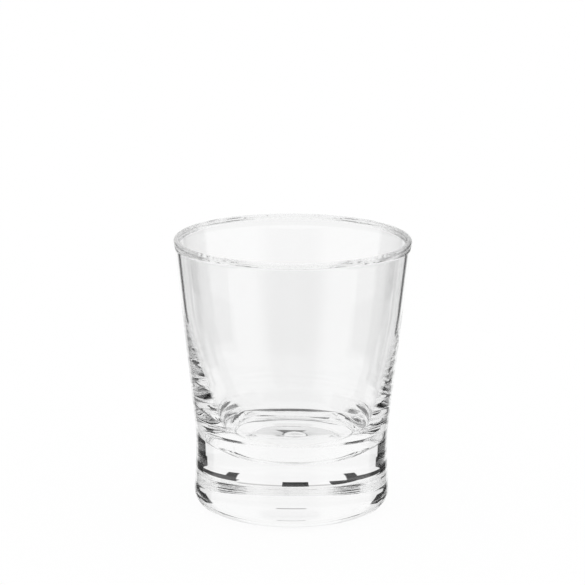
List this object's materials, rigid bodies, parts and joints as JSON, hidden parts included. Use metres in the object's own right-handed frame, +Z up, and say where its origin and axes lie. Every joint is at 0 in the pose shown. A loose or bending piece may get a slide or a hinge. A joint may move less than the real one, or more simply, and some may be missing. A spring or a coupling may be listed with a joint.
{
  "type": "double rocks glass",
  "caption": "Clear double rocks tumbler: thin tapered bowl with a rounded lip and dished floor on a heavy solid foot with a drawn-in waist, for drinks over ice.",
  "frame": {"origin": "centre of the standing ring, on the surface that the glass stands on", "axes": "+Z up along the axis of the glass; the picture looks along +Y"},
  "size_m": [0.0896, 0.0896, 0.104],
  "materials": {
    "clear_glass": "fire-polished clear soda-lime glass"
  },
  "bodies": {
    "root": {"glass": "clear_glass"}
  },
  "joints": []
}
